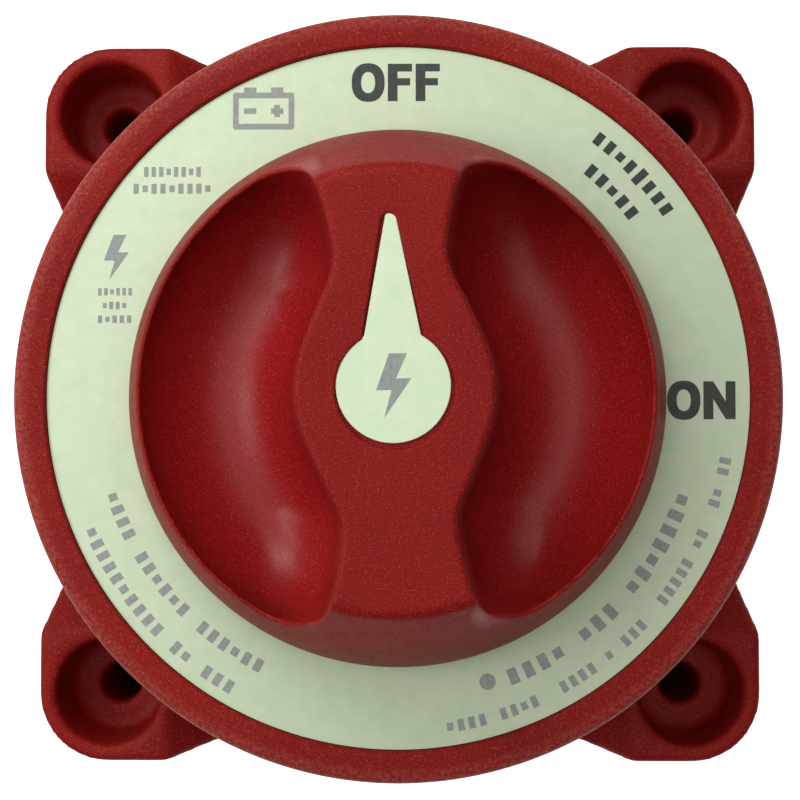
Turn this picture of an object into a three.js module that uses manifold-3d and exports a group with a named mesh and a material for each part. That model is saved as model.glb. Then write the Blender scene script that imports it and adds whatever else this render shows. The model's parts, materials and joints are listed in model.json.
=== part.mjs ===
// Marine battery switch, one circuit, on and off. It lies on its back: +Z points out of the dial,
// +Y towards the OFF mark and +X towards the ON mark. The knob stands at OFF.
// Millimetres; the origin is the middle of the rear mounting face.
import * as THREE from "three";
import { mergeVertices } from "three/addons/utils/BufferGeometryUtils.js";
import Module from "manifold-3d";

// Sizes that drive the rest
const CASE_WIDTH = 96;
const FACE_DIAMETER = 95;
const TOTAL_HEIGHT = 75;
const KNOB_HEIGHT = 22;
const STUD_DIAMETER = 9.52;

// Case, in plan: flat sides that flare out into four corner posts
const HALF = CASE_WIDTH / 2;
const SIDE = 43;
const FLARE = THREE.MathUtils.degToRad(18.5);
const POST_EDGE = 31;
const POST_RADIUS = 9.2;
const WALL = 2.6;
const BLOCK = POST_EDGE - 2;
const HOLE_AT = 38.8;
const HOLE_RADIUS = 2.8;
const COUNTERBORE = 7.05;

// Case, in height
const POST_TOP = 35.5;
const SHOULDER = 31.5;
const TROUGH_RUN = 5.7;
const SCREW_SEAT = 25.9;
const DRUM_RADIUS = 43;
const DRUM_TOP = 49.2;
const NOTCH_TOP = 23;
const NOTCH_HALF = 13;
const CHAMBER_TOP = 28;
const SEAT_RADIUS = 37.3;
const RING_FOOT = 30.5;
const ROTOR_ROOM = 28.5;
const TOP_WALL = 46.7;
const BOSS_AT = 33.5 / Math.SQRT2;

// Contacts and rotor
const BASE_TOP = 29.5;
const BASE_FOOT = 25.2;
const STUD_AT = 18;
const HEAD_TOP = 33.5;
const SPRING_AT = 11;
const ROTOR_RADIUS = 27;
const ROTOR_FOOT = 35.5;
const ROTOR_TOP = 43.4;
const DETENT_Z = 40.4;
const STOP_TURN = THREE.MathUtils.degToRad(16);

// Rear cover
const COVER_GAP = 0.3;
const PLATE = 2.4;
const DOORWAY = 9;
const DOORWAY_AT = 14;

// Face and knob
const FACE_TOP = TOTAL_HEIGHT - KNOB_HEIGHT;
const LABEL_FLOOR = FACE_TOP - 1;
const LABEL_RADIUS = 43.27;
const LABEL_GAP = 0.18;
const KNOB_RADIUS = 33.1;
const SCOOP_FLOOR = FACE_TOP + 2;
const SCOOP_FILLET = 4;
const SCOOP_ACROSS = 29.7;
const SCOOP_ALONG = 28.9;
const GRIP_HUB = 11;
const GRIP_WAIST = 6.15;
const GRIP_FLANK = 31;
const GRIP_FLANK_FROM = 12.8;
const GRIP_BLEND = 3;
const LABEL_SEAT = TOTAL_HEIGHT - 0.6;
const LABEL_THICKNESS = 0.4;
const POINTER_HUB = 6.22;
const POINTER_ROOT = 3.13;
const POINTER_REACH = 19.3;
const POINTER_TIP_RADIUS = 0.68;

const ROUND = 64;
const INNER = 40;
const SMALL = 20;
const TINY = 12;
const TURNS = [0, 1, 2, 3].map((quarter) => (quarter * Math.PI) / 2);
const CABLE_SIDES = [TURNS[0], TURNS[2]];
const BLANK_SIDES = [TURNS[1], TURNS[3]];
const SIDES = [["right", 1], ["left", -1]];
const ENDS = [["upper", 1], ["lower", -1]];

const wasm = await Module();
wasm.setup();

// Plain shapes

function box(x0, x1, y0, y1, z0, z1) {
  const shape = new THREE.BoxGeometry(x1 - x0, y1 - y0, z1 - z0);
  return shape.translate((x0 + x1) / 2, (y0 + y1) / 2, (z0 + z1) / 2);
}

function cylinder(radius, low, high, facets = ROUND, topRadius = radius) {
  const shape = new THREE.CylinderGeometry(topRadius, radius, high - low, facets);
  return shape.rotateX(Math.PI / 2).translate(0, 0, (low + high) / 2);
}

function rod(radius, x0, x1, z, facets = TINY) {
  const shape = new THREE.CylinderGeometry(radius, radius, x1 - x0, facets);
  return shape.rotateZ(-Math.PI / 2).translate((x0 + x1) / 2, 0, z);
}

// A profile of [radius, height] pairs, closed on itself, turned about Z
function turned(profile, facets = ROUND) {
  const points = [...profile, profile[0]].map(([r, z]) => new THREE.Vector2(r, z));
  return new THREE.LatheGeometry(points, facets).rotateX(Math.PI / 2);
}

function ring(inner, outer, low, high, facets = ROUND) {
  return turned([[inner, low], [outer, low], [outer, high], [inner, high]], facets);
}

function prism(points, low, high) {
  const shape = new THREE.Shape(points.map(([x, y]) => new THREE.Vector2(x, y)));
  const made = new THREE.ExtrudeGeometry(shape, { depth: high - low, bevelEnabled: false });
  return made.translate(0, 0, low);
}

// A shape drawn in Y and Z, run along X
function runAlongX(points, x0, x1) {
  return prism(points, x0, x1).rotateX(Math.PI / 2).rotateZ(Math.PI / 2);
}

function coil(radius, wire, from, to, turns, stepsPerTurn) {
  const path = new THREE.Curve();
  path.getPoint = (t) => {
    const angle = t * turns * 2 * Math.PI;
    return new THREE.Vector3(
      radius * Math.cos(angle), radius * Math.sin(angle), from + (to - from) * t,
    );
  };
  const section = new THREE.Shape().absarc(0, 0, wire, 0, 2 * Math.PI);
  return new THREE.ExtrudeGeometry(section, {
    steps: Math.round(turns * stepsPerTurn), extrudePath: path, curveSegments: 3,
  });
}

function arc(cx, cy, radius, from, to, steps) {
  return Array.from({ length: steps + 1 }, (_, i) => {
    const angle = from + ((to - from) * i) / steps;
    return [cx + radius * Math.cos(angle), cy + radius * Math.sin(angle)];
  });
}

function turnedPoint([x, y], turn) {
  const point = new THREE.Vector2(x, y).rotateAround(new THREE.Vector2(), turn);
  return [point.x, point.y];
}

// Adding and subtracting

function solidOf(geometry) {
  const bare = geometry.clone();
  bare.deleteAttribute("normal");
  bare.deleteAttribute("uv");
  const welded = mergeVertices(bare, 1e-4);
  const corners = welded.index.array;
  const faces = [];
  for (let i = 0; i < corners.length; i += 3) {
    const [a, b, c] = corners.slice(i, i + 3);
    if (a !== b && b !== c && c !== a) faces.push(a, b, c);
  }
  const build = (triVerts) => new wasm.Manifold(new wasm.Mesh({
    numProp: 3, vertProperties: welded.attributes.position.array, triVerts,
  }));
  const made = build(new Uint32Array(faces));
  return made.volume() > 0 ? made : build(new Uint32Array(faces).reverse());
}

const solid = (part) => (part.isBufferGeometry ? solidOf(part) : part);
const join = (...parts) => parts.flat().map(solid).reduce((a, b) => a.add(b));
const cut = (base, ...tools) =>
  tools.flat().map(solid).reduce((a, b) => a.subtract(b), solid(base));

function geometryOf(part) {
  const { vertProperties, triVerts } = solid(part).getMesh();
  const geometry = new THREE.BufferGeometry();
  geometry.setAttribute("position", new THREE.BufferAttribute(vertProperties, 3));
  geometry.setIndex(new THREE.BufferAttribute(triVerts, 1));
  geometry.computeVertexNormals();
  return geometry;
}

const material = (name, color, roughness, metalness = 0) => {
  const made = new THREE.MeshStandardMaterial({ color, roughness, metalness });
  made.name = name;
  return made;
};
const RED = material("red_plastic", 0xb5121b, 0.42);
const GLOW = material("glow_label", 0xcfe3c0, 0.5);
const BLACK = material("black_plastic", 0x1b1c1e, 0.5);
const NYLON = material("natural_nylon", 0xe8e2d2, 0.55);
const TINNED = material("tinned_copper", 0xc9c8c2, 0.3, 1);
const STEEL = material("stainless_steel", 0xb9bcc0, 0.32, 1);
const RUBBER = material("seal_rubber", 0x161616, 0.8);

const model = new THREE.Group();
model.name = "battery_switch";

function place(name, part, look, x = 0, y = 0) {
  const mesh = new THREE.Mesh(geometryOf(part), look);
  mesh.name = name;
  mesh.position.set(x, y, 0);
  model.add(mesh);
}

// Case plan

const flareEnd = (inset) =>
  POST_EDGE - (HALF - SIDE) / Math.tan(FLARE) + inset * Math.tan(FLARE / 2);
const sideAt = (y, inset) => SIDE - inset + (y - flareEnd(inset)) * Math.tan(FLARE);

function casePlan() {
  const corner = HALF - POST_RADIUS;
  const quarter = [
    [SIDE, -flareEnd(0)],
    [SIDE, flareEnd(0)],
    [HALF, POST_EDGE],
    ...arc(corner, corner, POST_RADIUS, 0, Math.PI / 2, 14),
    [POST_EDGE, HALF],
  ];
  return TURNS.flatMap((turn) => quarter.map((point) => turnedPoint(point, turn)));
}

function chamberPlan(gap) {
  const inset = WALL + gap;
  const block = BLOCK - gap;
  const quarter = [
    [sideAt(block, inset), -block],
    [SIDE - inset, -flareEnd(inset)],
    [SIDE - inset, flareEnd(inset)],
    [sideAt(block, inset), block],
    [block, block],
  ];
  return TURNS.flatMap((turn) => quarter.map((point) => turnedPoint(point, turn)));
}

// Front case

function trough(turn) {
  const extra = TROUGH_RUN / (POST_TOP - SHOULDER);
  const foot = POST_EDGE - TROUGH_RUN;
  const top = POST_EDGE + extra;
  const section = [[-foot, SHOULDER], [foot, SHOULDER], [top, POST_TOP + 1], [-top, POST_TOP + 1]];
  return runAlongX(section, 22, HALF + 2).rotateZ(turn);
}

function postHollow(turn) {
  const near = BLOCK + WALL;
  const far = HALF - WALL;
  const outline = [
    [near, near],
    [far, near],
    ...arc(HOLE_AT, HOLE_AT, far - HOLE_AT, 0, Math.PI / 2, 6),
    [near, far],
  ];
  const boss = cylinder(HOLE_RADIUS + 2, -2, NOTCH_TOP + 1, SMALL).translate(HOLE_AT, HOLE_AT, 0);
  return cut(prism(outline, -1, NOTCH_TOP).rotateZ(turn), boss.rotateZ(turn));
}

function rotorRoom() {
  const bearing = TOP_WALL - 2.3;
  const room = turned([
    [0, BASE_TOP], [ROTOR_ROOM, BASE_TOP], [ROTOR_ROOM, TOP_WALL], [12, TOP_WALL],
    [12, bearing], [0, bearing],
  ], INNER);
  const stops = [Math.PI * 0.75 + STOP_TURN, Math.PI * 0.25 - STOP_TURN];
  return cut(room, stops.map((turn) => box(19, 24, -2.5, 2.5, 44, TOP_WALL + 1).rotateZ(turn)));
}

function drumHollow() {
  const hollow = turned([
    [31.5, BASE_TOP], [37, BASE_TOP], [37, RING_FOOT], [40.2, RING_FOOT], [40.2, TOP_WALL],
    [31.5, TOP_WALL],
  ], INNER);
  return cut(hollow, TURNS.map((turn) =>
    cylinder(4, RING_FOOT, TOP_WALL + 1, SMALL).translate(BOSS_AT, BOSS_AT, 0).rotateZ(turn)));
}

function frontCase() {
  const outside = join(
    cut(prism(casePlan(), 0, POST_TOP), TURNS.map(trough)),
    cylinder(DRUM_RADIUS, SHOULDER - 2, DRUM_TOP),
    cylinder(9, DRUM_TOP - 1, FACE_TOP - 0.6, INNER),
  );
  const hollowed = cut(
    outside,
    prism(chamberPlan(0), -1, CHAMBER_TOP),
    cylinder(SEAT_RADIUS, CHAMBER_TOP - 1, RING_FOOT, INNER),
    rotorRoom(),
    drumHollow(),
    cylinder(6, TOP_WALL - 3, FACE_TOP, INNER),
  );
  const atCorners = TURNS.flatMap((turn) => [
    postHollow(turn),
    cylinder(HOLE_RADIUS, -1, SCREW_SEAT + 1, TINY).translate(HOLE_AT, HOLE_AT, 0).rotateZ(turn),
    cylinder(COUNTERBORE - 0.55, SCREW_SEAT, POST_TOP, 32, COUNTERBORE)
      .translate(HOLE_AT, HOLE_AT, 0).rotateZ(turn),
    cylinder(COUNTERBORE, POST_TOP - 0.01, POST_TOP + 1, 32)
      .translate(HOLE_AT, HOLE_AT, 0).rotateZ(turn),
    cylinder(1.8, BASE_TOP, 41, TINY).translate(BOSS_AT, BOSS_AT, 0).rotateZ(turn),
  ]);
  const atSides = TURNS.flatMap((turn) => [
    box(39, HALF, -NOTCH_HALF, NOTCH_HALF, -1, NOTCH_TOP).rotateZ(turn),
    box(35, 38.3, -3.5, 3.5, TOP_WALL - 1, DRUM_TOP + 1).rotateZ(turn),
    cylinder(2.3, 37, 44, TINY).translate(26.7, 0, 0).rotateZ(turn),
  ]);
  const latches = BLANK_SIDES.map((turn) => box(40, 41.4, -4.5, 4.5, 24, 26.5).rotateZ(turn));
  return cut(hollowed, atCorners, atSides, latches);
}

// Rear cover: a plate with four tabs that close the side notches. The cables enter by the doorways
// of two of them; the other two are only scored, to be opened if a cable must leave that way.

function coverTab(openDepth) {
  const half = NOTCH_HALF - COVER_GAP;
  const outer = SIDE - 0.1;
  const doorway = [
    [DOORWAY, NOTCH_TOP + 2],
    ...arc(0, DOORWAY_AT, DOORWAY, 0, -Math.PI, 12),
    [-DOORWAY, NOTCH_TOP + 2],
  ];
  const tab = join(
    box(38, outer, -half, half, 0, PLATE),
    box(outer - 2.2, outer, -half, half, 0, NOTCH_TOP - COVER_GAP),
  );
  return geometryOf(cut(tab, runAlongX(doorway, outer - openDepth, outer + 1)));
}

function coverLatch() {
  return geometryOf(join(box(38.3, 40.1, -4, 4, 1, 26), box(39.9, 41, -4, 4, 24.4, 25.6)));
}

function rearCover() {
  return join(
    prism(chamberPlan(COVER_GAP), 0, PLATE),
    box(-0.8, 0.8, -30, 30, 1, 16),
    CABLE_SIDES.map((turn) => coverTab(6).rotateZ(turn)),
    BLANK_SIDES.map((turn) => coverTab(0.8).rotateZ(turn)),
    BLANK_SIDES.map((turn) => coverLatch().rotateZ(turn)),
  );
}

// Bezel

function bezel() {
  const rim = FACE_DIAMETER / 2;
  const inner = LABEL_RADIUS + LABEL_GAP;
  const plate = turned([
    [10, DRUM_TOP + 0.3], [inner, DRUM_TOP + 0.3], [inner, 48], [rim - 0.6, 48], [rim, 48.6],
    [rim, FACE_TOP - 1.2], [rim - 1.2, FACE_TOP], [inner, FACE_TOP], [inner, LABEL_FLOOR],
    [10, LABEL_FLOOR],
  ], 72);
  const clips = TURNS.flatMap((turn) => [
    box(36, 38, -3, 3, 43.5, DRUM_TOP + 1).rotateZ(turn),
    box(37.5, 39.2, -3, 3, 44.9, 46.4).rotateZ(turn),
  ]);
  return join(plate, clips);
}

const dialLabel = () =>
  ring(12.5, LABEL_RADIUS, LABEL_FLOOR, LABEL_FLOOR + LABEL_THICKNESS);

// Knob: a dome with a scoop on each side, which leaves a grip bar across a round hub

const domeRadius = (rise) => KNOB_RADIUS - 0.1 * rise - 0.0125 * rise * rise;

function gripHalfWidth(y) {
  const away = Math.abs(y);
  const beyond = Math.max(0, away - GRIP_FLANK_FROM);
  const flank = GRIP_WAIST + GRIP_FLANK - Math.sqrt(GRIP_FLANK ** 2 - beyond ** 2);
  const hub = away < GRIP_HUB ? Math.sqrt(GRIP_HUB ** 2 - away ** 2) : 0;
  const blend = Math.max(0, GRIP_BLEND - Math.abs(flank - hub)) / GRIP_BLEND;
  return Math.max(flank, hub) + (blend * blend * GRIP_BLEND) / 4;
}

function gripEdge(reach, steps) {
  return Array.from({ length: steps + 1 }, (_, i) => {
    const y = -reach + (2 * reach * i) / steps;
    return [gripHalfWidth(y), y];
  });
}

function scoop() {
  const reach = 21;
  const corner = 27.2;
  const turn = Math.asin((reach + 1) / SCOOP_ALONG);
  const outline = new THREE.Shape(gripEdge(reach, 24).map(([x, y]) => new THREE.Vector2(x, y)));
  const meet = gripHalfWidth(corner) + 0.1;
  outline.quadraticCurveTo(meet, corner, SCOOP_ACROSS * Math.cos(turn), reach + 1);
  outline.absellipse(0, 0, SCOOP_ACROSS, SCOOP_ALONG, turn, -turn, true);
  outline.quadraticCurveTo(meet, -corner, gripHalfWidth(reach), -reach);
  return new THREE.ExtrudeGeometry(outline, {
    depth: 20, curveSegments: 8, bevelThickness: SCOOP_FILLET, bevelSize: SCOOP_FILLET,
    bevelOffset: -SCOOP_FILLET, bevelSegments: 4,
  }).translate(0, 0, SCOOP_FLOOR + SCOOP_FILLET);
}

function pointerOutline(grow) {
  const hub = POINTER_HUB + grow;
  const tip = POINTER_TIP_RADIUS + grow;
  const from = Math.acos((POINTER_ROOT + grow) / hub);
  return [
    ...arc(0, 0, hub, from, -Math.PI - from, 24),
    ...arc(0, POINTER_REACH - POINTER_TIP_RADIUS, tip, Math.PI, 0, 6),
  ];
}

function knob() {
  const rises = Array.from({ length: 8 }, (_, i) => i * 3);
  const crown = KNOB_HEIGHT - 0.7;
  const dome = turned([
    [0, FACE_TOP],
    ...rises.map((rise) => [domeRadius(rise), FACE_TOP + rise]),
    [domeRadius(crown) - 0.05, FACE_TOP + crown],
    [domeRadius(KNOB_HEIGHT) - 0.5, TOTAL_HEIGHT],
    [0, TOTAL_HEIGHT],
  ], 60);
  return cut(
    dome,
    [0, Math.PI].map((turn) => scoop().rotateZ(turn)),
    prism(pointerOutline(0.45), LABEL_SEAT, TOTAL_HEIGHT + 1),
    ENDS.map(([, sign]) => box(-3.8, 3.8, 10.5, 22, FACE_TOP - 1, 72.5).rotateZ(
      sign > 0 ? 0 : Math.PI)),
    box(-4.3, 4.3, -4.3, 4.3, FACE_TOP - 1, 64.3),
    cylinder(2.4, 60, 71, TINY),
    cylinder(5.2, 70, TOTAL_HEIGHT, SMALL),
  );
}

// Parts that turn with the knob

function driveShaft() {
  const shaft = join(
    turned([
      [0, ROTOR_TOP], [5.7, ROTOR_TOP], [5.7, 48], [4.1, 48], [4.1, 50.4], [5.7, 50.4],
      [5.7, 52.9], [0, 52.9],
    ], 32),
    box(-4.5, 4.5, -4.5, 4.5, 38.8, ROTOR_TOP),
    box(-4, 4, -4, 4, 52, 64),
  );
  return cut(shaft, cylinder(2.2, 52, 65, TINY));
}

function rotor() {
  const lug = box(19, 24, -2.5, 2.5, ROTOR_TOP - 1, 45.8).rotateZ(Math.PI * 0.75);
  return cut(
    join(cylinder(ROTOR_RADIUS, ROTOR_FOOT, ROTOR_TOP, INNER), lug),
    box(-7.3, 7.3, -24.5, 24.5, ROTOR_FOOT - 1, 38.7),
    box(-4.65, 4.65, -4.65, 4.65, 38, ROTOR_TOP + 1),
    ENDS.map(([, sign]) => cylinder(4, 38, 42, SMALL).translate(0, sign * SPRING_AT, 0)),
    SIDES.map(([, sign]) => rod(2.3, 17, 28, DETENT_Z).rotateZ(sign > 0 ? 0 : Math.PI)),
  );
}

function contactBridge() {
  const end = 23;
  const outline = [
    [7, -end + 3], [7, end - 3], [4, end], [-4, end], [-7, end - 3], [-7, -end + 3], [-4, -end],
    [4, -end],
  ];
  return join(
    prism(outline, 34.3, 37.3),
    ENDS.map(([, sign]) => cylinder(5.2, HEAD_TOP + 0.1, 35, SMALL).translate(0, sign * 18, 0)),
  );
}

// Contact base and terminals

function contactBase() {
  const pads = ENDS.map(([, sign]) =>
    box(-6, 6, sign * 18 - 6, sign * 18 + 6, BASE_TOP - 1, HEAD_TOP));
  return cut(
    join(cylinder(37, BASE_FOOT, BASE_TOP, INNER), pads),
    SIDES.flatMap(([, sign]) => [
      cylinder(5.2, BASE_FOOT - 1, BASE_TOP, SMALL).translate(sign * STUD_AT, 0, 0),
      cylinder(7.2, 27.5, BASE_TOP + 1, SMALL).translate(sign * STUD_AT, 0, 0),
    ]),
    TURNS.map((turn) =>
      cylinder(1.9, BASE_FOOT - 1, BASE_TOP + 1, TINY).translate(BOSS_AT, BOSS_AT, 0).rotateZ(turn)),
  );
}

function stud() {
  const radius = STUD_DIAMETER / 2;
  return join(
    box(-7, 7, -8, 8, BASE_TOP, HEAD_TOP),
    turned([[0, 2.9], [radius - 0.9, 2.9], [radius, 3.8], [radius, 31], [0, 31]], SMALL),
  );
}

function studNut() {
  const across = 14.3;
  return cut(cylinder(across / Math.sqrt(3), 13.1, 21.4, 6), cylinder(5.06, 12, 23, SMALL));
}

const lockWasher = () => cut(ring(5.1, 8.2, 21.4, 23.6, SMALL), box(4, 9, -0.6, 0.6, 21, 24));

const caseScrew = () => cut(
  join(cylinder(3, 22.8, BASE_FOOT, SMALL), cylinder(1.5, 25, 39, TINY)),
  box(-2.4, 2.4, -0.4, 0.4, 22, 23.8),
);

const knobScrew = () => cut(
  join(cylinder(4.5, 70.8, 73.6, SMALL), cylinder(2, 58, 71, TINY)),
  cylinder(1.8, 72, 74, 6),
);

const seal = (radius, thickness, z) =>
  new THREE.TorusGeometry(radius, thickness, 6, 20).translate(0, 0, z);

place("front_case", frontCase(), RED);
place("rear_cover", rearCover(), RED);
place("bezel", bezel(), RED);
place("dial_label", dialLabel(), GLOW);
place("knob", knob(), RED);
place("pointer_label", prism(pointerOutline(0), LABEL_SEAT, LABEL_SEAT + LABEL_THICKNESS), GLOW);
place("knob_screw", knobScrew(), STEEL);
place("knob_washer", ring(2.4, 4.8, 70, 70.8, SMALL), STEEL);
place("drive_shaft", driveShaft(), STEEL);
place("shaft_seal", seal(5, 0.8, 49.2), RUBBER);
place("thrust_washer", ring(6.2, 11, ROTOR_TOP, ROTOR_TOP + 1, SMALL), NYLON);
place("rotor", rotor(), BLACK);
place("contact_bridge", contactBridge(), TINNED);
place("contact_base", contactBase(), BLACK);
place("case_gasket", ring(29, 31, BASE_TOP, RING_FOOT, INNER), RUBBER);

for (const [end, sign] of ENDS) {
  place(`contact_spring_${end}`, coil(3, 0.45, 37.95, 41.35, 3.5, 9), STEEL, 0, sign * SPRING_AT);
}
for (const [side, sign] of SIDES) {
  const turn = sign > 0 ? 0 : Math.PI;
  const ball = new THREE.SphereGeometry(2, 14, 9).rotateX(Math.PI / 2);
  const spring = coil(1.5, 0.25, 17.5, 24, 5, 7).rotateY(Math.PI / 2);
  place(`detent_ball_${side}`, ball.translate(26.35, 0, DETENT_Z).rotateZ(turn), STEEL);
  place(`detent_spring_${side}`, spring.translate(0, 0, DETENT_Z).rotateZ(turn), STEEL);
  place(`stud_${side}`, stud(), TINNED, sign * STUD_AT);
  place(`stud_seal_${side}`, seal(5.9, 0.9, 28.5), RUBBER, sign * STUD_AT);
  place(`flat_washer_${side}`, ring(5.1, 9.5, 23.6, BASE_FOOT, SMALL), STEEL, sign * STUD_AT);
  place(`lock_washer_${side}`, lockWasher(), STEEL, sign * STUD_AT);
  place(`stud_nut_${side}`, studNut(), STEEL, sign * STUD_AT);
  for (const [end, up] of ENDS) {
    place(`case_screw_${end}_${side}`, caseScrew(), STEEL, sign * BOSS_AT, up * BOSS_AT);
  }
}

export default model;
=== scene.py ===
"""Looks of the marine battery switch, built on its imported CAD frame.

Shapes are worked out in millimetres, in the frame's own axes, and stored in metres.
"""

import json
import math

import bmesh
import bpy
import numpy as np
from mathutils import Matrix, Vector


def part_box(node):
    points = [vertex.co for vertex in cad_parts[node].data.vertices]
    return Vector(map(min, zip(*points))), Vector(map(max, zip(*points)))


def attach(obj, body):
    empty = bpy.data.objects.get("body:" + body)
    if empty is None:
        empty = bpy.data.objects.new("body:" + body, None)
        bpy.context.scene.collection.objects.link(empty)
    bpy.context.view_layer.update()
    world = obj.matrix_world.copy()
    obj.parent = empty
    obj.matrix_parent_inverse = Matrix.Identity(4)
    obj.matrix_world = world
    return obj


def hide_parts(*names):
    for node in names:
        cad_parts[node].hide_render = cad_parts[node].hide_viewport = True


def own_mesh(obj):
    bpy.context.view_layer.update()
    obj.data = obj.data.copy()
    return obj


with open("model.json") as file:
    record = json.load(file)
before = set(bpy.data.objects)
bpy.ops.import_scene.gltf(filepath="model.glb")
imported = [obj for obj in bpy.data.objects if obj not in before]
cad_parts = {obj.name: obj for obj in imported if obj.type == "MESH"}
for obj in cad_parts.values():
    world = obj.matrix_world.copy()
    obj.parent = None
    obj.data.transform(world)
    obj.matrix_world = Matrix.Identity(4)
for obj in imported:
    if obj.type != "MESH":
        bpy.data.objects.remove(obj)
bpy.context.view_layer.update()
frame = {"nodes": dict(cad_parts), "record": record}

MM = 0.001
CASE = "case"
TURNING = "knob_and_rotor"


def box_mm(node):
    """Lowest and highest corner of a CAD node, in millimetres."""
    low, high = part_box(node)
    return np.array(low) / MM, np.array(high) / MM


FACE_TOP = box_mm("bezel")[1][2]
FACE_RADIUS = box_mm("bezel")[1][0]
LABEL_FOOT, LABEL_TOP = (box_mm("dial_label")[side][2] for side in (0, 1))
LABEL_RADIUS = box_mm("dial_label")[1][0]
KNOB_FOOT, KNOB_TOP = (box_mm("knob")[side][2] for side in (0, 1))
KNOB_RADIUS = box_mm("knob")[1][0]
SCOOP_ACROSS, SCOOP_ALONG = 29.7, 28.9
POINTER_FOOT, POINTER_TOP = (box_mm("pointer_label")[side][2] for side in (0, 1))


# ---------------------------------------------------------------- materials


class Look:
    """A node material under construction, with short ways to add the usual nodes."""

    def __init__(self, name):
        self.material = bpy.data.materials.new(name)
        self.material.use_nodes = True
        self.nodes = self.material.node_tree.nodes
        self.links = self.material.node_tree.links
        self.shader = self.nodes["Principled BSDF"]
        self.place = self.nodes.new("ShaderNodeTexCoord").outputs["Object"]

    def set(self, name, value):
        self.shader.inputs[name].default_value = value

    def noise(self, scale, detail=2.0, roughness=0.5, stretch=None):
        node = self.nodes.new("ShaderNodeTexNoise")
        node.inputs["Scale"].default_value = scale
        node.inputs["Detail"].default_value = detail
        node.inputs["Roughness"].default_value = roughness
        source = self.place
        if stretch:
            mapping = self.nodes.new("ShaderNodeMapping")
            mapping.inputs["Scale"].default_value = stretch
            self.links.new(source, mapping.inputs["Vector"])
            source = mapping.outputs["Vector"]
        self.links.new(source, node.inputs["Vector"])
        return node.outputs["Fac"]

    def ramp(self, value, *stops):
        """Maps a value through (position, colour or grey) stops."""
        node = self.nodes.new("ShaderNodeValToRGB")
        elements = node.color_ramp.elements
        while len(elements) < len(stops):
            elements.new(0.5)
        for element, (position, colour) in zip(elements, stops):
            element.position = position
            grey = not hasattr(colour, "__len__")
            element.color = (colour,) * 3 + (1,) if grey else (*colour, 1)
        self.links.new(value, node.inputs["Fac"])
        return node.outputs["Color"]

    def mix(self, share, below, above, blend="MIX"):
        node = self.nodes.new("ShaderNodeMix")
        node.data_type = "RGBA"
        node.blend_type = blend
        for socket, value in ((0, share), (6, below), (7, above)):
            if isinstance(value, bpy.types.NodeSocket):
                self.links.new(value, node.inputs[socket])
            else:
                wide = value if socket == 0 or len(value) == 4 else (*value, 1)
                node.inputs[socket].default_value = wide
        return node.outputs[2]

    def combine(self, operation, first, second):
        """The outcome of a Math node's operation on two values."""
        node = self.nodes.new("ShaderNodeMath")
        node.operation = operation
        self.links.new(first, node.inputs[0])
        self.links.new(second, node.inputs[1])
        return node.outputs["Value"]

    def absolute(self):
        """The sizes of the three coordinates, without their signs."""
        away = self.nodes.new("ShaderNodeVectorMath")
        away.operation = "ABSOLUTE"
        self.links.new(self.place, away.inputs[0])
        parts = self.nodes.new("ShaderNodeSeparateXYZ")
        self.links.new(away.outputs["Vector"], parts.inputs["Vector"])
        return parts.outputs["X"], parts.outputs["Y"], parts.outputs["Z"]

    def reach(self, across, along):
        """How far a place is from the Z axis: one on the oval with these half-widths in millimetres."""
        flat = self.nodes.new("ShaderNodeVectorMath")
        flat.operation = "MULTIPLY"
        flat.inputs[1].default_value = (1 / (across * MM), 1 / (along * MM), 0)
        self.links.new(self.place, flat.inputs[0])
        length = self.nodes.new("ShaderNodeVectorMath")
        length.operation = "LENGTH"
        self.links.new(flat.outputs["Vector"], length.inputs[0])
        return length.outputs["Value"]

    def between(self, height, start, end):
        """Nothing at the start height and one at the end height, both in millimetres."""
        span = self.nodes.new("ShaderNodeMapRange")
        self.links.new(height, span.inputs["Value"])
        span.inputs["From Min"].default_value = start * MM
        span.inputs["From Max"].default_value = end * MM
        return span.outputs["Result"]

    def colour(self, socket):
        self.links.new(socket, self.shader.inputs["Base Color"])

    def rough(self, value, low, high):
        self.links.new(self.ramp(value, (0.3, low), (0.7, high)), self.shader.inputs["Roughness"])

    def bump(self, *layers):
        """Stacks (height, depth in mm) layers."""
        normal = None
        for height, depth in layers:
            node = self.nodes.new("ShaderNodeBump")
            node.inputs["Strength"].default_value = 1.0
            node.inputs["Distance"].default_value = depth * MM
            self.links.new(height, node.inputs["Height"])
            if normal:
                self.links.new(normal, node.inputs["Normal"])
            normal = node.outputs["Normal"]
        self.links.new(normal, self.shader.inputs["Normal"])


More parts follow.
